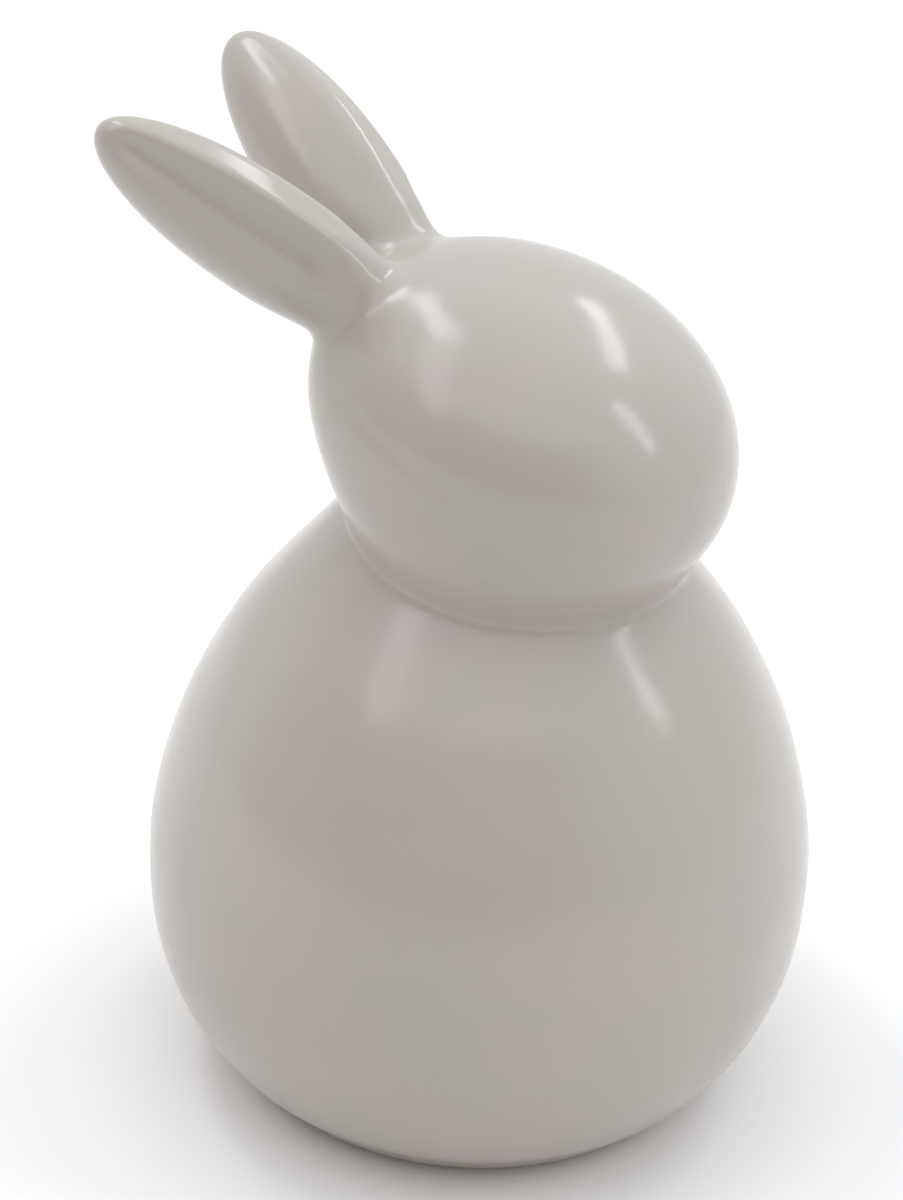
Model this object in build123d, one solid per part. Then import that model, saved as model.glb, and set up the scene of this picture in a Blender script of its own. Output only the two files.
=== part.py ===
from build123d import *
from math import cos, radians, sin
import os

# A glazed rabbit ornament: a hollow egg body, a hollow egg head bowed on it, two
# laid-back ears with a pressed groove, and a small round tail. Each clay piece is
# luted to the next with a thin layer of slip on a flat seat, and a slab closes the base.
# The rabbit looks along -Y, +Z is up, and the origin is the middle of the base on
# the surface that it stands on. Lengths are millimetres, angles are degrees.

# Body, cast hollow. Heights are above the foot.
belly_radius = 61.0
belly_height = 38.0
foot_share = 0.73  # the foot's radius by the belly's
crown_cover = 2.0  # top of the whole egg above the middle of the head, which hides it
body_wall = 4.5
floor_flare = 2.5  # edge of the hollow's floor beyond the foot's radius
foot_out_share, foot_up_share = 0.47, 0.23  # outline from foot to belly
haunch_out_share, haunch_up_share = 0.84, 0.55
chest_out_share, chest_up_share = 0.957, 0.233  # outline from belly to crown
shoulder_out_share, shoulder_up_share = 0.788, 0.507
neck_out_share, neck_up_share = 0.572, 0.705
top_out_share, top_up_share = 0.330, 0.877
foot_slope_share = 0.75  # run against rise where the outline leaves the foot

# Head, cast hollow
head_half_length = 38.0
head_half_width = 34.6
head_half_height = 30.3
head_forward = 3.7
head_height = 125.0
head_bow = 22.3
head_wall = 4.0

# Neck joint, on a flat seat through the crease between body and head
slip_thickness = 0.8
crease_radius = 2.5

# Ears, pressed solid, with a groove and a pierced vent
ear_length = 65.6
ear_half_width = 9.2
ear_half_depth = 11.1
ear_nape_share = 0.564  # its hidden end from the middle of the head, by the head's half sizes
ear_crown_share = 0.220
ear_side_share = 0.107
ear_rise = 37.9
ear_splay = 21.7
ear_turn = 25.1
ear_root_radius = 4.0
ear_seat_share = 0.512  # flat seat from its hidden end, by the head's half height
vent_radius = 1.6
vent_share = 0.67  # by the ear's length, as the next two
groove_length_share = 0.442  # half its length
groove_forward_share = 0.099  # its middle, beyond the middle of the ear
groove_radius = 6.0
groove_depth = 6.9
groove_lean = 2.0  # towards the ear's axis at the tip
groove_turn = 40.0
rim_radius = 1.5

# Tail, pressed solid
tail_radius = 9.0
tail_stand = 6.5  # how far it stands out of the body
tail_root_radius = 2.0
tail_seat = 2.4  # flat seat, out from the body

# Base slab and felt
slab_margin = 7.5  # rim of the foot round the slab
slab_thickness = 4.5
slab_clearance = 0.4
slab_recess = 0.8
ledge_width = 4.0
ledge_thickness = 4.0
drain_radius = 4.0
felt_margin = 3.0
felt_thickness = 1.5

overrun = 5.0
up = Vector(0, 0, 1)
front = Vector(0, -1, 0)
right = Vector(-1, 0, 0)
foot = felt_thickness
foot_radius = belly_radius * foot_share
slab_radius = foot_radius - slab_margin
crown_height = head_height + crown_cover
floor_height = slab_recess + slab_thickness + slip_thickness + ledge_thickness


def between(start, end, out_share, up_share):
    """A point of an outline, by shares of the way out and up from one point to another."""
    return (
        start[0] + out_share * (end[0] - start[0]),
        start[1] + up_share * (end[1] - start[1]),
    )


def egg_outline(foot_point, belly_point, crown_point):
    """The outline of the body's egg through its foot, belly and crown."""
    axis_point = (0, belly_point[1])
    chest = between(axis_point, (belly_point[0], crown_point[1]), chest_out_share, chest_up_share)
    shoulder = between(axis_point, (belly_point[0], crown_point[1]), shoulder_out_share, shoulder_up_share)
    neck = between(axis_point, (belly_point[0], crown_point[1]), neck_out_share, neck_up_share)
    top = between(axis_point, (belly_point[0], crown_point[1]), top_out_share, top_up_share)
    low = between(foot_point, belly_point, foot_out_share, foot_up_share)
    haunch = between(foot_point, belly_point, haunch_out_share, haunch_up_share)
    points = [foot_point, low, haunch, belly_point, chest, shoulder, neck, top, crown_point]
    return Spline(*points, tangents=[(foot_slope_share, 1), (-1, 0)]), haunch


def body_egg(inset):
    """The egg of the body, or the hollow inside its wall."""
    foot_point = (foot_radius, 0) if inset == 0 else (foot_radius + floor_flare, floor_height)
    belly_point = (belly_radius - inset, belly_height)
    crown_point = (0, crown_height - inset)
    with BuildPart() as egg:
        with BuildSketch(Plane.XZ):
            with BuildLine():
                egg_outline(foot_point, belly_point, crown_point)
                Line(crown_point, (0, foot_point[1]))
                Line((0, foot_point[1]), foot_point)
            make_face()
        revolve(axis=Axis.Z)
    return Pos(0, 0, foot) * egg.part


def tail_place(offset):
    """A place on the back at the haunch, square to the body, offset outwards."""
    outline, haunch = egg_outline((foot_radius, 0), (belly_radius, belly_height), (0, crown_height))
    slope = outline.tangent_at(outline.param_at_point(Vector(*haunch)))
    outward = -front * slope.Y - up * slope.X
    spot = -front * haunch[0] + up * (haunch[1] + foot)
    return Plane(origin=spot + outward * offset, x_dir=right, z_dir=outward)


def head_point(nape_share, crown_share, side_share):
    """A point in the bowed head, by shares of its half sizes from its middle."""
    bow = radians(head_bow)
    nape = up * sin(bow) - front * cos(bow)
    crown = up * cos(bow) + front * sin(bow)
    middle = front * head_forward + up * (head_height + foot)
    lengthwise = nape * (head_half_length * nape_share)
    return middle + lengthwise + crown * (head_half_height * crown_share) + right * (head_half_width * side_share)


def head_egg(inset):
    """The egg of the head, bowed forward, or the hollow inside its wall."""
    sizes = (head_half_length - inset, head_half_height - inset, head_half_width - inset)
    middle = head_point(0, 0, 0)
    return Plane(origin=middle, x_dir=head_point(-1, 0, 0) - middle, z_dir=right) * scale(Sphere(1), by=sizes)


def neck_crease():
    """Body and head in one, and the edges of the crease between them."""
    body, head = body_egg(0), head_egg(0)
    joined = body + head
    return joined, new_edges(body, head, combined=joined)


def neck_seat(offset):
    """The flat seat through the front and the nape of the crease, offset towards the head."""
    box = Compound(neck_crease()[1]).bounding_box()
    throat, nape = Vector(0, box.min.Y, box.min.Z), Vector(0, box.max.Y, box.max.Z)
    normal = (nape - throat).cross(right).normalized()
    return Plane(origin=throat + normal * offset, x_dir=right, z_dir=normal)


def ear_place(distance, turn, offset):
    """A place along the right ear's axis, offset out of a face turned to the outer side."""
    rise, splay, angle = radians(ear_rise), radians(ear_splay), radians(turn)
    along = up * (sin(rise) * cos(splay)) - front * (cos(rise) * cos(splay)) + right * sin(splay)
    face = front * sin(rise) + up * cos(rise)
    outer = (right - along * right.dot(along)).normalized()
    normal = face * cos(angle) + outer * sin(angle)
    root = head_point(ear_nape_share, ear_crown_share, ear_side_share)
    return Plane(origin=root + along * distance + normal * offset, x_dir=normal, z_dir=along)


def right_ear_egg():
    """The plain egg of the right ear."""
    sizes = (ear_half_depth, ear_half_width, ear_length / 2)
    return ear_place(ear_length / 2, ear_turn + 180, 0) * scale(Sphere(1), by=sizes)


def groove_egg():
    """The slender egg that presses the groove into the right ear."""
    sizes = (groove_radius, groove_radius, ear_length * groove_length_share)
    middle = ear_length * (1 / 2 + groove_forward_share)
    place = ear_place(middle, groove_turn, ear_half_depth - groove_depth + groove_radius)
    return place * Rot(0, -groove_lean, 0) * scale(Sphere(1), by=sizes)


def ear_vent():
    """The hole pierced from the head's hollow up the middle of the right ear."""
    return ear_place(0, 0, 0) * Cylinder(vent_radius, ear_length * vent_share, align=(Align.CENTER, Align.CENTER, Align.MIN))


def layer(solid, seat):
    """The thin layer of slip on a flat seat, as wide as the solid there."""
    return split(split(solid, seat(0), keep=Keep.TOP), seat(slip_thickness), keep=Keep.BOTTOM)


def ear_seat_at(offset):
    """The flat seat of the right ear, offset towards its tip."""
    return ear_place(head_half_height * ear_seat_share + offset, 0, 0)


def tail_seat_at(offset):
    """The flat seat of the tail, offset outwards."""
    return tail_place(tail_seat + offset)


def right_half_with_ear(upper):
    """The right half of the head with its ear, root and groove rim rounded."""
    ear, groove = right_ear_egg(), groove_egg()
    joined = upper + ear
    blended = fillet(new_edges(upper, ear, combined=joined), ear_root_radius)
    grooved = blended - groove
    rimmed = fillet(new_edges(blended, groove, combined=grooved), rim_radius)
    return split(rimmed, Plane.YZ, keep=Keep.BOTTOM)


def with_tail(body):
    """The body with its tail, root rounded."""
    middle = tail_place(tail_stand - tail_radius)
    tail = split(middle * Rot(0, 90, 0) * Sphere(tail_radius), middle, keep=Keep.TOP)
    joined = body + tail
    return fillet(new_edges(body, tail, combined=joined), tail_root_radius)


def disc(radius, bottom, thickness):
    """A round plate about the upright axis, from a height above the foot."""
    plate = Cylinder(radius, thickness, align=(Align.CENTER, Align.CENTER, Align.MIN))
    return Pos(0, 0, foot + bottom) * plate


def mirrored(solid):
    """The same piece for the left side."""
    return mirror(solid, about=Plane.YZ)


def build_nodes():
    """Every piece of the ornament by its node name."""
    whole = fillet(neck_crease()[1], crease_radius)
    hollows = [body_egg(body_wall), head_egg(head_wall)]
    vent = ear_vent()
    slab_top = slab_recess + slab_thickness
    ledge_radius = slab_radius - ledge_width

    body = split(whole, neck_seat(0), keep=Keep.BOTTOM)
    for hollow in hollows:
        body -= hollow
    body -= disc(ledge_radius, -overrun, overrun + floor_height + overrun)
    body -= disc(slab_radius + slab_clearance, -overrun, overrun + slab_top + slip_thickness)
    body = with_tail(body)
    tail = split(body, tail_seat_at(slip_thickness), keep=Keep.TOP)
    tail_slip = layer(body, tail_seat_at)
    body = split(body, tail_seat_at(0), keep=Keep.BOTTOM)

    neck_slip = layer(whole, neck_seat)
    for hollow in hollows:
        neck_slip -= hollow

    half = right_half_with_ear(split(whole, neck_seat(slip_thickness), keep=Keep.TOP))
    right_ear = split(half, ear_seat_at(slip_thickness), keep=Keep.TOP) - vent
    right_ear_slip = layer(half, ear_seat_at) - vent
    head_half = split(half, ear_seat_at(0), keep=Keep.BOTTOM)
    for hollow in [*hollows, vent]:
        head_half -= hollow

    slab = disc(slab_radius, slab_recess, slab_thickness) - disc(drain_radius, -overrun, slab_top + 2 * overrun)
    slab_slip = disc(slab_radius, slab_top, slip_thickness) - disc(ledge_radius, 0, floor_height)
    felt = disc(foot_radius - felt_margin, -felt_thickness, felt_thickness)

    return {
        "body_shell": body,
        "neck_slip": neck_slip,
        "head_shell": head_half + mirrored(head_half),
        "right_ear": right_ear,
        "left_ear": mirrored(right_ear),
        "right_ear_slip": right_ear_slip,
        "left_ear_slip": mirrored(right_ear_slip),
        "tail": tail,
        "tail_slip": tail_slip,
        "base_slab": slab,
        "base_slab_slip": slab_slip,
        "felt_base": felt,
    }


os.makedirs("parts", exist_ok=True)
for name, solid in build_nodes().items():
    solid.label = name
    export_step(solid, f"parts/{name}.step")
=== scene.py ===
import math

import bpy
import numpy as np
from mathutils import Matrix, Vector


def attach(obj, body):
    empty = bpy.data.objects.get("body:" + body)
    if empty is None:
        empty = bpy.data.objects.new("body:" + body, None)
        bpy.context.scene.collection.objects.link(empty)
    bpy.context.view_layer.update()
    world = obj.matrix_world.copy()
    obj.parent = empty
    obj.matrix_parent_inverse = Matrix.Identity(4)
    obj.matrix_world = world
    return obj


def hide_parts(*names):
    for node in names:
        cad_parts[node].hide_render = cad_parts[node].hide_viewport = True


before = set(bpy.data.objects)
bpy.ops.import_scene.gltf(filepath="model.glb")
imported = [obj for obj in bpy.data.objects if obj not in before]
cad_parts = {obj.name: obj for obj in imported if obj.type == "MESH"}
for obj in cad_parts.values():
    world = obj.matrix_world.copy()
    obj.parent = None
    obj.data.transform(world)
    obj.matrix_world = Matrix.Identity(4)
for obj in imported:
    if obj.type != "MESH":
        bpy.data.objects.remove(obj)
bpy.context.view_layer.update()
mm = 0.001
up, front, right = Vector((0, 0, 1)), Vector((0, -1, 0)), Vector((-1, 0, 0))
weldGap = 0.001 * mm
cutGap = 0.0001 * mm  # far less than an edge, so that a cut leaves no double corners
print("frame loaded with", len(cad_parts), "nodes")


# The operators work on what only() has selected, as they do after a click.

def only(*objs):
    bpy.ops.object.select_all(action="DESELECT")
    for obj in objs:
        obj.select_set(True)
    bpy.context.view_layer.objects.active = objs[0]


def modify(obj, kind, **values):
    only(obj)
    modifier = obj.modifiers.new(kind.title(), kind)
    for key, value in values.items():
        setattr(modifier, key, value)
    bpy.ops.object.modifier_apply(modifier=modifier.name)


def copyOf(obj, name):
    twin = obj.copy()
    twin.data = obj.data.copy()
    twin.name = name
    bpy.context.scene.collection.objects.link(twin)
    return twin


def cutAway(obj, point, outward):
    # bisect with a filled cut: what lies on the outward side goes
    only(obj)
    bpy.ops.object.mode_set(mode="EDIT")
    bpy.ops.mesh.select_all(action="SELECT")
    bpy.ops.mesh.bisect(plane_co=point, plane_no=outward, use_fill=True, clear_outer=True,
                        threshold=cutGap)
    bpy.ops.mesh.select_all(action="SELECT")
    bpy.ops.mesh.delete_loose()
    bpy.ops.object.mode_set(mode="OBJECT")


def addEgg(name, middle, along, facing, sizes, grid):
    # a sphere stretched to an egg: sizes are half its length along, half its depth facing and
    # half its width, and grid is its segments and rings
    bpy.ops.mesh.primitive_uv_sphere_add(segments=grid[0], ring_count=grid[1], radius=1)
    egg = bpy.context.object
    egg.name = name
    turn = Matrix((facing, along.cross(facing), along)).transposed().to_4x4()
    stretch = Matrix.Diagonal((sizes[1], sizes[2], sizes[0], 1))
    egg.matrix_world = Matrix.Translation(middle) @ turn @ stretch
    bpy.ops.object.transform_apply(location=True, rotation=True, scale=True)
    return egg


# Body: an egg outline through its foot, belly and crown, spun round the upright axis.
body = {
    "bellyRadius": 61.0,
    "bellyHeight": 38.0,
    "footRadius": 44.53,
    "footHeight": 1.5,  # top of the felt
    "crownHeight": 127.0,
    "footSlope": 0.75,
    "footShares": [(0.47, 0.23), (0.84, 0.55)],  # out and up from foot to belly
    "crownShares": [(0.957, 0.233), (0.788, 0.507), (0.572, 0.705), (0.330, 0.877)],
    "pocket": (37.43, 6.1),  # radius and height of the room for the slab
    "curveSteps": 18,  # between two points of the outline
    "spinSteps": 256,
}


def bodyOutline():
    foot, belly = body["footRadius"], body["bellyRadius"]
    waist, top = body["bellyHeight"], body["crownHeight"]
    points = [(foot, 0)]
    points += [(foot + out * (belly - foot), rise * waist) for out, rise in body["footShares"]]
    points += [(belly, waist)]
    points += [(out * belly, waist + rise * (top - waist)) for out, rise in body["crownShares"]]
    points += [(0, top)]
    return [Vector((r, 0, z + body["footHeight"])) * mm for r, z in points]


def addBody(name):
    points = bodyOutline()
    bpy.ops.curve.primitive_bezier_curve_add()
    outline = bpy.context.object
    outline.name = name
    spline = outline.data.splines[0]
    spline.resolution_u = body["curveSteps"]
    spline.bezier_points.add(len(points) - 2)
    for knot, point in zip(spline.bezier_points, points):
        knot.co = point
        knot.handle_left_type = knot.handle_right_type = "AUTO"
    first, last = spline.bezier_points[0], spline.bezier_points[-1]
    for knot in (first, last):
        knot.handle_left_type = knot.handle_right_type = "FREE"
    lead = (points[1] - points[0]).length / 3
    first.handle_right = points[0] + Vector((body["footSlope"], 0, 1)).normalized() * lead
    last.handle_left = points[-1] + Vector((1, 0, 0)) * (points[-1] - points[-2]).length / 3
    bpy.ops.object.convert(target="MESH")
    # the lowest point is extruded inwards, up and to the axis, which leaves the slab's pocket
    bpy.ops.object.mode_set(mode="EDIT")
    bpy.ops.mesh.select_mode(type="VERT")
    bpy.ops.mesh.select_all(action="DESELECT")
    bpy.ops.object.mode_set(mode="OBJECT")
    min(outline.data.vertices, key=lambda vertex: vertex.co.z).select = True
    bpy.ops.object.mode_set(mode="EDIT")
    radius, height = body["pocket"]
    for out, rise in ((radius - body["footRadius"], 0), (0, height), (-radius, 0)):
        move = {"value": (out * mm, 0, rise * mm)}
        bpy.ops.mesh.extrude_vertices_move(TRANSFORM_OT_translate=move)
    bpy.ops.mesh.select_all(action="SELECT")
    bpy.ops.mesh.spin(steps=body["spinSteps"], angle=2 * math.pi, center=(0, 0, 0), axis=(0, 0, 1))
    bpy.ops.mesh.select_all(action="SELECT")
    bpy.ops.mesh.remove_doubles(threshold=weldGap)
    bpy.ops.mesh.normals_make_consistent(inside=False)
    bpy.ops.object.mode_set(mode="OBJECT")
    return outline


# Head: an egg bowed forward, with its cheeks drawn out below.
head = {
    "halfLength": 38.4,
    "halfHeight": 27.8,
    "halfWidth": 35.2,
    "forward": 3.1,
    "height": 127.3,
    "bow": 20.95,
    "noseFullness": 0.026,  # shares by which height and width grow towards the nose
    "noseWidth": 0.088,
    "cheekDrop": (0.44, 0.60),  # how far the lower half hangs at the middle, and more at the nose
    "cheekWidth": 0.174,
    "grid": (192, 128),
}
bow = math.radians(head["bow"])
nape = up * math.sin(bow) - front * math.cos(bow)
crown = up * math.cos(bow) + front * math.sin(bow)
headMiddle = (front * head["forward"] + up * (head["height"] + body["footHeight"])) * mm
headSizes = [head[key] * mm for key in ("halfLength", "halfHeight", "halfWidth")]


def addHead(name):
    length, height, width = headSizes
    drop, noseDrop = head["cheekDrop"]
    egg = addEgg(name, headMiddle, -nape, crown, headSizes, head["grid"])
    for vertex in egg.data.vertices:
        arm = vertex.co - headMiddle
        nose, rise, side = arm.dot(-nape) / length, arm.dot(crown) / height, arm.dot(right) / width
        hang = max(-rise, 0)
        rise *= (1 + head["noseFullness"] * nose) * (1 + hang * (drop + noseDrop * nose))
        side *= (1 + head["noseWidth"] * nose) * (1 + head["cheekWidth"] * hang)
        place = headMiddle - nape * nose * length + crown * rise * height + right * side * width
        vertex.co = place
    return egg


# Ears: slender eggs laid back. Their sections are pressed in by shares of the radius, at angles
# that go from the upper face (0) round the outer side (90): a flat on the inner side, a narrow
# band along the face, and beside the band a broad groove whose lower rim is left soft.
ear = {
    "length": 65.6,
    "halfWidth": 9.2,
    "halfDepth": 11.1,
    "root": (3.7, 13.6, 140.8),  # its hidden end: out, back and up
    "rise": 37.9,
    "splay": 21.7,
    "turn": 25.1,
    "section": [(-105, 0), (-70, 0.02), (-36, 0.075), (-5, 0), (12, 0.045), (29, 0), (38, 0.14),
                (50, 0.31), (60, 0.34), (72, 0.27), (84, 0.15), (95, 0), (110, 0)],
    "rootSection": [(-105, 0), (-70, 0.02), (-42, 0.085), (-12, 0), (9, 0.085), (28, 0),
                    (38, 0.15), (50, 0.32), (60, 0.33), (72, 0.25), (83, 0.13), (93, 0), (110, 0)],
    "rootUntil": (20, 44),  # the root's section passes into the other along these mm from the root
    "edge": 6,  # degrees over which the edges of a section are rounded
    "pressedFrom": (17, 27),  # the pressing comes in along these mm from the root
    "pressedTo": (66, 60),  # and goes out from the second of these to the first
    "seat": 15.5,
    "grid": (240, 160),
}


def earAxes(turn, side):
    # the way the ear lies, and its upper face's way after a turn in degrees to the outer side
    rise, splay, angle = (math.radians(value) for value in (ear["rise"], ear["splay"], turn))
    outward = right * side
    along = (up * math.sin(rise) * math.cos(splay) - front * math.cos(rise) * math.cos(splay)
             + outward * math.sin(splay))
    face = front * math.sin(rise) + up * math.cos(rise)
    outer = (outward - along * outward.dot(along)).normalized()
    return along, face * math.cos(angle) + outer * math.sin(angle)


def earRoot(side):
    out, behind, height = ear["root"]
    return (right * out * side - front * behind + up * height) * mm


def fadeBetween(value, start, end):
    share = min(max((value - start) / (end - start), 0), 1)
    return share * share * (3 - 2 * share)


def addEar(name, side):
    along, facing = earAxes(ear["turn"], side)
    face, outer = earAxes(0, side)[1], earAxes(90, side)[1]
    middle = earRoot(side) + along * ear["length"] / 2 * mm
    sizes = (ear["length"] / 2 * mm, ear["halfDepth"] * mm, ear["halfWidth"] * mm)
    egg = addEgg(name, middle, along, facing, sizes, ear["grid"])
    angles = np.arange(-180, 181)
    window = np.hanning(2 * ear["edge"] + 3)  # its two end values are zero
    window /= window.sum()
    rootCurve, curve = (np.convolve(np.interp(angles, *zip(*ear[key])), window, "same")
                        for key in ("rootSection", "section"))
    for vertex in egg.data.vertices:
        arm = vertex.co - middle
        stretch = arm.dot(along) / mm + ear["length"] / 2
        spoke = arm - along * arm.dot(along)
        angle = math.degrees(math.atan2(spoke.dot(outer), spoke.dot(face)))
        atRoot, beyond = np.interp(angle, angles, rootCurve), np.interp(angle, angles, curve)
        share = atRoot + (beyond - atRoot) * fadeBetween(stretch, *ear["rootUntil"])
        comeIn = fadeBetween(stretch, *ear["pressedFrom"])
        goOut = fadeBetween(stretch, *ear["pressedTo"])
        vertex.co -= spoke * share * comeIn * goOut
    return egg


# Tail: a ball sunk in the back at the haunch.
tail = {"radius": 9.0, "stand": 6.5, "seat": 2.4, "grid": (64, 48)}
slip = 0.8  # thickness of a luting layer


def tailPlace():
    below, haunch, above = bodyOutline()[1:4]
    slope = ((haunch - below).normalized() + (above - haunch).normalized()).normalized()
    outward = Vector((0, slope.z, -slope.x)).normalized()
    return Vector((0, haunch.x, haunch.z)), outward


def addTail(name):
    spot, outward = tailPlace()
    middle = spot + outward * (tail["stand"] - tail["radius"]) * mm
    return addEgg(name, middle, right, outward, [tail["radius"] * mm] * 3, tail["grid"])


eggs = [addBody("bodyEgg"), addHead("headEgg"), addEar("rightEgg", 1), addEar("leftEgg", -1),
        addTail("tailEgg")]
print("eggs made")

# Skin: the clay is one smooth surface under the glaze, so all the eggs are first grown together,
# and the finished skin is parted again at the flat seats. Lengths are in mm.
skin = {
    "voxel": 0.5,
    "quickVoxel": 0.8,
    "stepSmoothing": 3,  # repeats that take away the steps between voxels of any size
    "creaseSmoothing": 6,  # this and the next ones are repeats on voxels of the full fineness
    "rootSmoothing": 240,
    "rootReach": 12.0,
    "neckSmoothing": 55,
    "neckReach": 6.0,
    "reachSlope": 1.6,  # whole within three eighths of the reach, then fading to none at its end
    "hollowShadeSmoothing": 60,
    "hollowShadeDepth": 0.25,  # depth of a hollow that gets the whole painted shade; the glaze also lies thicker there
    "valley": (0.8, 15, 146),  # between the ears: half its width, and where it starts back and up
    "rootLine": 0.3,  # how near to a meeting line the points that mark it lie
    "neckLine": 0.4,
    "bodyShare": 0.24,  # of the faces, kept on the body, whose form is plainer
    "neckSeam": 1.5,  # about the neck all faces stay, so that the cuts meet the other pieces'
    "tailSeam": 1.2,  # and about the tail, in shares of its radius
    "seamHold": 1000,
}
voxel = skin["voxel"]
neckSeat = {"height": 107.44, "tilt": 6.5}  # where it crosses the axis, and higher at the nape
neckTilt = math.radians(neckSeat["tilt"])
neckPoint = up * neckSeat["height"] * mm
neckUp = up * math.cos(neckTilt) + front * math.sin(neckTilt)


def repeats(key):
    return round(skin[key] * (skin["voxel"] / voxel) ** 2)


def coordinates(obj):
    points = np.empty(len(obj.data.vertices) * 3, np.float32)
    obj.data.vertices.foreach_get("co", points)
    return points.reshape(-1, 3)


def headDistance(points):
    # about how far the points are outside the head, in metres
    arms = points - np.array(headMiddle)
    shares = [arms @ np.array(axis) / size for axis, size in zip((-nape, crown, right), headSizes)]
    return (np.sqrt(sum(share * share for share in shares)) - 1) * headSizes[1]


def neckDistance(points):
    # how far the points are from the plane of the neck's seat, in metres
    return np.abs((points - np.array(neckPoint)) @ np.array(neckUp))


def smoothNear(obj, spots, reach, repeat):
    # smoothing that fades out with the distance from the given spots, which all lie on the head
    points = coordinates(obj)
    nearest = np.full(len(points), 2 * reach)
    close = np.nonzero(np.abs(headDistance(points)) < 2 * reach)[0]
    for spot in spots:
        nearest[close] = np.minimum(nearest[close], np.linalg.norm(points[close] - spot, axis=1))
    weight = np.clip(skin["reachSlope"] - skin["reachSlope"] * nearest / reach, 0, 1)
    group = obj.vertex_groups.new(name="near")
    for index in np.nonzero(weight > 0)[0]:
        group.add([int(index)], float(weight[index]), "REPLACE")
    modify(obj, "SMOOTH", factor=0.5, iterations=repeat, vertex_group="near")
    obj.vertex_groups.remove(obj.vertex_groups["near"])


def markHollowShade(obj, repeat):
    # how far each spot lies in a hollow (up to 1) or on an edge (down to -1)
    twin = copyOf(obj, "twin")
    modify(twin, "SMOOTH", factor=0.5, iterations=repeat)
    normals = np.empty(len(obj.data.vertices) * 3, np.float32)
    obj.data.vertices.foreach_get("normal", normals)
    hollow = np.sum((coordinates(twin) - coordinates(obj)) * normals.reshape(-1, 3), axis=1)
    # this share is kept on the skin and sets where shade is painted into the glaze
    shadeInHollows = obj.data.attributes.new("shadeInHollows", "FLOAT", "POINT")
    share = np.clip(hollow / (skin["hollowShadeDepth"] * mm), -1, 1)
    shadeInHollows.data.foreach_set("value", share.astype(np.float32))
    bpy.data.objects.remove(twin)


# where eggs meet: the valley between the ears, the roots of the ears, and the neck
headPoints = coordinates(eggs[1])
halfValley, valleyBack, valleyUp = (length * mm for length in skin["valley"])
inValley = np.abs(headPoints[:, 0]) < halfValley
inValley &= (headPoints[:, 1] > valleyBack) & (headPoints[:, 2] > valleyUp)
earLines = list(headPoints[inValley])
for egg in eggs[2:4]:
    points = coordinates(egg)
    onLine = np.abs(headDistance(points)) < skin["rootLine"] * mm
    earLines.extend(points[onLine][::3])  # every third is close enough to its neighbours
neckLine = headPoints[neckDistance(headPoints) < skin["neckLine"] * mm]
print(len(earLines), "spots round the ears and", len(neckLine), "round the neck")

only(*eggs)
bpy.ops.object.join()
fineSkin = eggs[0]
fineSkin.name = "fineSkin"
stepRepeats = repeats("creaseSmoothing") + skin["stepSmoothing"]
modify(fineSkin, "REMESH", mode="VOXEL", voxel_size=voxel * mm)
modify(fineSkin, "SMOOTH", factor=0.5, iterations=stepRepeats)
smoothNear(fineSkin, earLines, skin["rootReach"] * mm, repeats("rootSmoothing"))
smoothNear(fineSkin, neckLine, skin["neckReach"] * mm, repeats("neckSmoothing"))
markHollowShade(fineSkin, repeats("hollowShadeSmoothing"))
only(fineSkin)
bpy.ops.object.shade_smooth()
print("skin has", len(fineSkin.data.polygons), "faces")

bodySkin = copyOf(fineSkin, "bodySkin")
tailSpot, tailOut = tailPlace()
points = coordinates(bodySkin)
tailDistance = np.linalg.norm(points - np.array(tailSpot), axis=1)
atSeam = neckDistance(points) < skin["neckSeam"] * mm
atSeam |= tailDistance < skin["tailSeam"] * tail["radius"] * mm
bodySkin.vertex_groups.new(name="seams").add(np.nonzero(atSeam)[0].tolist(), 1.0, "REPLACE")
modify(bodySkin, "DECIMATE", ratio=skin["bodyShare"], vertex_group="seams",
       invert_vertex_group=True, vertex_group_factor=skin["seamHold"])


def part(source, name, replaced, slotName, *cuts):
    piece = copyOf(source, name)
    for point, outward in cuts:
        cutAway(piece, point, outward)
    modify(piece, "DATA_TRANSFER", object=fineSkin, use_loop_data=True,
           data_types_loops={"CUSTOM_NORMAL"}, loop_mapping="POLYINTERP_NEAREST")
    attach(piece, "root")
    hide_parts(replaced)
    print(name, "has", len(piece.data.polygons), "faces")
    return piece


# A seat is a point and the way out of it. These cuts lie so many mm out from it.

def below(seat, offset=0):
    return seat[0] + seat[1] * offset * mm, seat[1]


def above(seat, offset=0):
    return seat[0] + seat[1] * offset * mm, -seat[1]


neck, tailSeat = (neckPoint, neckUp), (tailSpot, tailOut)
headCuts = [above(neck, slip)]
pieces = [
    part(bodySkin, "glazedBody", "body_shell", "white_glaze",
         below(neck), below(tailSeat, tail["seat"])),
    part(fineSkin, "glazedNeckSlip", "neck_slip", "glazed_slip",
         above(neck), below(neck, slip)),
]
for side, sideName in ((1, "right"), (-1, "left")):
    earSeat = (earRoot(side), earAxes(0, side)[0])
    ownHalf = (Vector((0, 0, 0)), -right * side)
    headCuts.append(below(earSeat, ear["seat"]))
    pieces.append(part(fineSkin, sideName + "GlazedEar", sideName + "_ear", "white_glaze",
                       above(earSeat, ear["seat"] + slip), ownHalf))
    pieces.append(part(fineSkin, sideName + "GlazedEarSlip", sideName + "_ear_slip", "glazed_slip",
                       above(earSeat, ear["seat"]), below(earSeat, ear["seat"] + slip), ownHalf))
pieces.append(part(fineSkin, "glazedHead", "head_shell", "white_glaze", *headCuts))
pieces.append(part(fineSkin, "glazedTail", "tail", "white_glaze",
                   above(tailSeat, tail["seat"] + slip)))
pieces.append(part(fineSkin, "glazedTailSlip", "tail_slip", "glazed_slip",
                   above(tailSeat, tail["seat"]), below(tailSeat, tail["seat"] + slip)))
bpy.data.objects.remove(fineSkin)
bpy.data.objects.remove(bodySkin)


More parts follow.
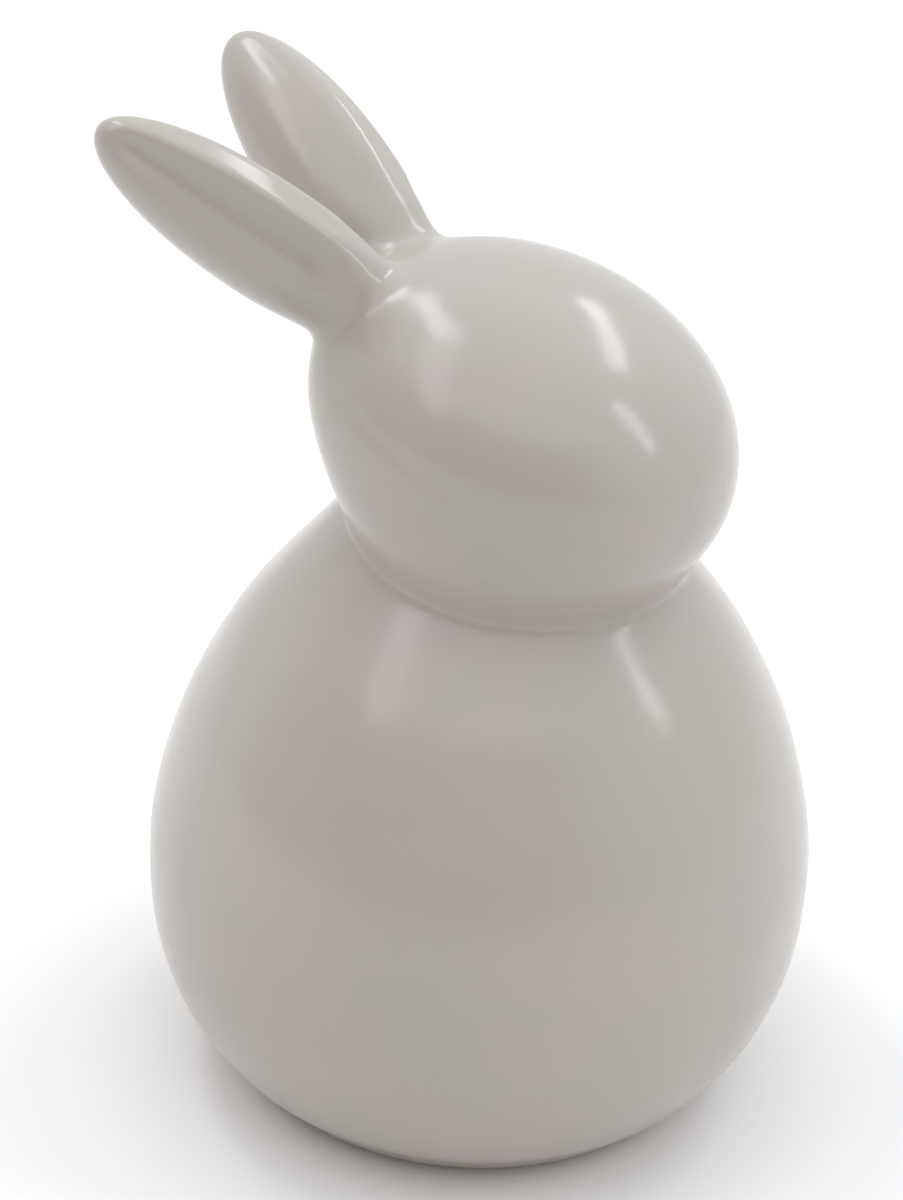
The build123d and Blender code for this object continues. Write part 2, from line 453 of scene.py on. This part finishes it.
# Materials. Patterns lie on Object coordinates, in metres, so they run on from piece to piece.

def addNode(tree, kind, links=(), **settings):
    # links says what goes into which input: a socket of another node, or a plain value
    node = tree.nodes.new("ShaderNode" + kind)
    for key, value in settings.items():
        setattr(node, key, value)
    for label, value in dict(links).items():
        if isinstance(value, bpy.types.NodeSocket):
            tree.links.new(value, node.inputs[label])
        else:
            node.inputs[label].default_value = value
    return node


def compute(tree, operation, first, second):
    return addNode(tree, "Math", {0: first, 1: second}, operation=operation).outputs["Value"]


def ramp(tree, value, start, end, low=0, high=1):
    links = {"Value": value, "From Min": start, "From Max": end, "To Min": low, "To Max": high}
    return addNode(tree, "MapRange", links, interpolation_type="SMOOTHSTEP").outputs["Result"]


def layColors(tree, tone, *layers):
    # a Mix node has its factor in socket 0 and its colours in 6 and 7
    for factor, color in layers:
        links = {0: factor, 6: tone, 7: color}
        tone = addNode(tree, "Mix", links, data_type="RGBA").outputs[2]
    return tone


def noise(tree, place, scale, detail, roughness=0.5, distortion=0):
    links = {"Vector": place, "Scale": scale, "Detail": detail, "Roughness": roughness,
             "Distortion": distortion}
    return addNode(tree, "TexNoise", links).outputs["Fac"]


def bump(tree, height, distance, under=None, invert=False):
    links = {"Height": height, "Distance": distance, "Strength": 1}
    if under is not None:
        links["Normal"] = under
    return addNode(tree, "Bump", links, invert=invert).outputs["Normal"]


def addDots(tree, place, scale, size, share):
    # round dots in a few of the cells: size is a share of a cell, share is how many cells have one
    cells = addNode(tree, "TexVoronoi", {"Vector": place, "Scale": scale})
    lot = addNode(tree, "SeparateColor", {"Color": cells.outputs["Color"]}).outputs["Red"]
    dots = ramp(tree, cells.outputs["Distance"], size * 0.5, size, 1, 0)
    return compute(tree, "MULTIPLY", dots, compute(tree, "LESS_THAN", lot, share))


def openGroup(name, values):
    # values are what its materials will set, so they say which inputs it has
    group = bpy.data.node_groups.new(name, "ShaderNodeTree")
    for label, value in values.items():
        kind = "NodeSocketColor" if isinstance(value, tuple) else "NodeSocketFloat"
        group.interface.new_socket(name=label, in_out="INPUT", socket_type=kind)
    for label, kind in (("Color", "Color"), ("Roughness", "Float"), ("Normal", "Vector")):
        group.interface.new_socket(name=label, in_out="OUTPUT", socket_type="NodeSocket" + kind)
    place = addNode(group, "TexCoord").outputs["Object"]
    return group, group.nodes.new("NodeGroupInput").outputs, place


def closeGroup(group, **results):
    made = group.nodes.new("NodeGroupOutput")
    for label, socket in results.items():
        group.links.new(socket, made.inputs[label])


def makeMaterial(name, look, values, shading):
    material = bpy.data.materials.new(name)
    material.use_nodes = True
    tree = material.node_tree
    shader = tree.nodes["Principled BSDF"]
    group = addNode(tree, "Group", values, node_tree=bpy.data.node_groups[look])
    tree.links.new(group.outputs["Color"], shader.inputs["Base Color"])
    tree.links.new(group.outputs["Roughness"], shader.inputs["Roughness"])
    tree.links.new(group.outputs["Normal"], shader.inputs["Normal"])
    for label, value in shading.items():
        shader.inputs[label].default_value = value
    return material


def paint(material, obj):
    obj.data.materials.clear()
    obj.data.materials.append(material)


# Glaze: off-white, in two tones laid as soft clouds, darker in the hollows as painted shade
# where the glaze also lies thicker, with a few pinholes and specks and a faint peel. In all three
# patterns a noise is its scale, detail, roughness and distortion, dots are cells to a metre, size
# in a cell and share of the cells, a ramp is its start, its end and the levels there, and heights
# are in metres.
whiteGlaze = {
    "Color": (0.450, 0.410, 0.379, 1),
    "Cloud Color": (0.431, 0.407, 0.365, 1),
    # painted shade for the hollows
    "Hollow Shade Color": (0.385, 0.350, 0.315, 1),
    "Roughness": 0.17,
    "Peel Height": 0.000012,
}
glazedSlip = dict(whiteGlaze, Roughness=0.18)
glazePattern = {
    "clouds": (24, 3),
    "cloudRamp": (0.36, 0.64),
    "wisps": (95, 4, 0.6),
    "wispRamp": (0.5, 0.75, 0, 0.35),
    "dullRamp": (0.35, 0.75, 0, 0.05),  # roughness that the wisps add
    # how much painted shade the hollows get
    "hollowShadeRamp": (0.1, 1, 0, 0.75),
    "specks": (260, 0.045, 0.035),
    "speckColor": (0.20, 0.15, 0.11, 1),
    "speckShare": 0.35,
    "holes": (80, 0.030, 0.10),
    "holeColor": (0.12, 0.09, 0.07, 1),
    "holeShare": 0.75,
    "holeDulling": 0.4,
    "holeDepth": 0.00012,
    "peel": (420, 2, 0.45),
    "flow": (70, 2),
    "flowHeight": 0.00022,
}
tree, given, place = openGroup("glazeLook", whiteGlaze)
clouds = noise(tree, place, *glazePattern["clouds"])
wisps = noise(tree, place, *glazePattern["wisps"])
# the skin's hollows, where shade is painted into the glaze
shadeInHollows = addNode(tree, "Attribute", attribute_name="shadeInHollows").outputs["Fac"]
specks = addDots(tree, place, *glazePattern["specks"])
holes = addDots(tree, place, *glazePattern["holes"])
tone = layColors(
    tree, given["Color"],
    (ramp(tree, clouds, *glazePattern["cloudRamp"]), given["Cloud Color"]),
    (ramp(tree, wisps, *glazePattern["wispRamp"]), given["Cloud Color"]),
    (ramp(tree, shadeInHollows, *glazePattern["hollowShadeRamp"]), given["Hollow Shade Color"]),
    (compute(tree, "MULTIPLY", specks, glazePattern["speckShare"]), glazePattern["speckColor"]),
    (compute(tree, "MULTIPLY", holes, glazePattern["holeShare"]), glazePattern["holeColor"]))
dulling = ramp(tree, wisps, *glazePattern["dullRamp"])
holeDulling = compute(tree, "MULTIPLY", holes, glazePattern["holeDulling"])
gloss = compute(tree, "ADD", given["Roughness"], dulling)
gloss = compute(tree, "ADD", gloss, holeDulling)
peeled = bump(tree, noise(tree, place, *glazePattern["peel"]), given["Peel Height"])
flow = noise(tree, place, *glazePattern["flow"])
flowed = bump(tree, flow, glazePattern["flowHeight"], peeled)
pitted = bump(tree, holes, glazePattern["holeDepth"], flowed, invert=True)
closeGroup(tree, Color=tone, Roughness=gloss, Normal=pitted)

# Clay: fired and unglazed, grainy with fine grog
bareClay = {"Color": (0.60, 0.55, 0.47, 1), "Grog Color": (0.47, 0.41, 0.33, 1)}
clayPattern = {
    "clouds": (60, 5),
    "cloudRamp": (0.3, 0.7, 0, 0.3),
    "grog": (700, 0.30, 0.25),
    "grogShare": 0.6,
    "grain": (1600, 3),
    "grainRamp": (0.3, 0.7, 0.82, 0.96),  # roughness
    "grainHeight": 0.00006,
}
tree, given, place = openGroup("clayLook", bareClay)
clouds = noise(tree, place, *clayPattern["clouds"])
grog = addDots(tree, place, *clayPattern["grog"])
grain = noise(tree, place, *clayPattern["grain"])
tone = layColors(
    tree, given["Color"],
    (ramp(tree, clouds, *clayPattern["cloudRamp"]), given["Grog Color"]),
    (compute(tree, "MULTIPLY", grog, clayPattern["grogShare"]), given["Grog Color"]))
rough = ramp(tree, grain, *clayPattern["grainRamp"])
grainy = bump(tree, compute(tree, "ADD", grain, grog), clayPattern["grainHeight"])
closeGroup(tree, Color=tone, Roughness=rough, Normal=grainy)

# Felt: short wool fibres that lie every way
greyFelt = {"Color": (0.30, 0.29, 0.27, 1), "Fibre Color": (0.42, 0.41, 0.38, 1)}
feltPattern = {
    "stretch": (2200, 260, 900),  # fibres are a noise drawn out one way
    "turns": (0.0, 1.1, 2.2),
    "fibres": (1.0, 2, 0.5, 0.8),
    "fibreRamp": (0.5, 0.72),
    "fibreHeight": 0.00025,
    "dullRamp": (0.4, 0.8, 1.0, 0.88),  # roughness
    "patches": (140, 3),
    "patchRamp": (0.4, 0.7, 0, 0.3),
}
tree, given, place = openGroup("feltLook", greyFelt)
fibres = []
for turn in feltPattern["turns"]:
    links = {"Vector": place, "Rotation": (0, 0, turn), "Scale": feltPattern["stretch"]}
    laid = addNode(tree, "Mapping", links).outputs["Vector"]
    fibres.append(noise(tree, laid, *feltPattern["fibres"]))
mat = compute(tree, "MAXIMUM", fibres[0], fibres[1])
mat = compute(tree, "MAXIMUM", mat, fibres[2])
patches = noise(tree, place, *feltPattern["patches"])
tone = layColors(
    tree, given["Color"],
    (ramp(tree, mat, *feltPattern["fibreRamp"]), given["Fibre Color"]),
    (ramp(tree, patches, *feltPattern["patchRamp"]), given["Color"]))
rough = ramp(tree, mat, *feltPattern["dullRamp"])
closeGroup(tree, Color=tone, Roughness=rough, Normal=bump(tree, mat, feltPattern["fibreHeight"]))

glazeMaterial = makeMaterial("whiteGlaze", "glazeLook", whiteGlaze, {"IOR": 1.52})
slipMaterial = makeMaterial("glazedSlip", "glazeLook", glazedSlip, {"IOR": 1.52})
clayMaterial = makeMaterial("bareClay", "clayLook", bareClay, {"IOR": 1.45})
feltMaterial = makeMaterial("greyFelt", "feltLook", greyFelt,
                            {"IOR": 1.4, "Sheen Weight": 0.35, "Sheen Roughness": 0.5})
for piece in pieces:
    paint(slipMaterial if "Slip" in piece.name else glazeMaterial, piece)
for node, material in (("base_slab", clayMaterial), ("base_slab_slip", clayMaterial),
                       ("felt_base", feltMaterial)):
    bpy.data.objects[node].material_slots[0].material = material
print("materials made")

# Camera: looks down on the right side of the rabbit from half a metre
camera = {
    "target": (0, 0, 57.7),
    "azimuth": -73.7,
    "elevation": 31.0,
    "distance": 499.6,
    "roll": 3.46,
    "lens": 81.62,
    "sensor": 36,
    "shift": (-0.0269, 0.1453),
    "clip": (0.01, 20),
}
azimuth, elevation = math.radians(camera["azimuth"]), math.radians(camera["elevation"])
back = Vector((math.sin(azimuth) * math.cos(elevation), -math.cos(azimuth) * math.cos(elevation),
               math.sin(elevation)))
bpy.ops.object.camera_add(location=(Vector(camera["target"]) + back * camera["distance"]) * mm)
view = bpy.context.object
roll = Matrix.Rotation(math.radians(camera["roll"]), 3, "Z").to_quaternion()
view.rotation_mode = "QUATERNION"
view.rotation_quaternion = (-back).to_track_quat("-Z", "Y") @ roll
view.data.lens, view.data.sensor_width = camera["lens"], camera["sensor"]
view.data.shift_x, view.data.shift_y = camera["shift"]
view.data.clip_start, view.data.clip_end = camera["clip"]
bpy.context.scene.camera = view
bpy.context.scene.view_settings.view_transform = "Standard"
print("camera placed")

# Stage: a white floor, as wide as a room
stage = {"floorSize": 6.0, "floorColor": (0.88, 0.88, 0.87, 1), "floorRoughness": 0.9}
bpy.ops.mesh.primitive_plane_add(size=stage["floorSize"])
floor = bpy.context.object
floor.name = "floor"
paper = bpy.data.materials.new("paper")
paper.use_nodes = True
shader = paper.node_tree.nodes["Principled BSDF"]
shader.inputs["Base Color"].default_value = stage["floorColor"]
shader.inputs["Roughness"].default_value = stage["floorRoughness"]
paint(paper, floor)

# Studio: a white tent, open and dimmer on the rabbit's right, where the camera stands
studio = {
    "above": (1.20, 1.21, 1.27, 1),
    "around": (0.89, 0.92, 0.93, 1),
    "opening": (0.37, 0.295, 0.26, 1),
    "aboveFrom": (0.50, 0.72),  # where the roof begins and is whole, as shares of straight up
    "openingFrom": (0.04, 0.72),  # the same for the opening, as shares of the way to its side
    "openingSide": (-0.985, 0.17, 0.0),
}
lampAim = Vector((0, 0, 0.1))  # the middle of the rabbit
world = bpy.data.worlds.new("studio")
bpy.context.scene.world = world
world.use_nodes = True
sky = world.node_tree
outwards = addNode(sky, "TexCoord").outputs["Generated"]
height = addNode(sky, "SeparateXYZ", {"Vector": outwards}).outputs["Z"]
opening = addNode(sky, "VectorMath", {0: outwards, 1: studio["openingSide"]},
                  operation="DOT_PRODUCT").outputs["Value"]
tent = layColors(
    sky, studio["around"],
    (ramp(sky, opening, *studio["openingFrom"]), studio["opening"]),
    (ramp(sky, height, *studio["aboveFrom"]), studio["above"]))
sky.links.new(tent, sky.nodes["Background"].inputs["Color"])

# Lamps: strips in the roof of the tent, and one upright in front of the rabbit
lamps = {  # name: start, end, width and brightness
    "leftStrip": ((0.37, 0.57, 0.9), (-0.09, 0.29, 0.9), 0.15, 5.0),
    "leftGlow": ((-0.13, 0.34, 0.9), (-1.05, 0.72, 0.9), 0.28, 1.4),
    "rightStrip": ((0.95, -0.19, 0.9), (0.40, -0.55, 0.9), 0.14, 5.0),
    "uprightStrip": ((0.17, -1.2, 0.58), (0.17, -1.2, 1.4), 0.13, 5.5),
}
for name, (start, end, width, level) in lamps.items():
    start, end = Vector(start), Vector(end)
    middle, length = (start + end) / 2, (end - start).length
    bpy.ops.object.light_add(type="AREA", location=middle)
    strip = bpy.context.object
    strip.name = name
    strip.data.shape = "RECTANGLE"
    strip.data.size, strip.data.size_y = length, width
    strip.data.energy = level * math.pi * length * width
    along = (end - start).normalized()
    backwards = middle - lampAim
    backwards = (backwards - along * backwards.dot(along)).normalized()
    turn = Matrix((along, backwards.cross(along), backwards)).transposed()
    strip.rotation_mode = "QUATERNION"
    strip.rotation_quaternion = turn.to_quaternion()
print("stage, tent and lamps placed")
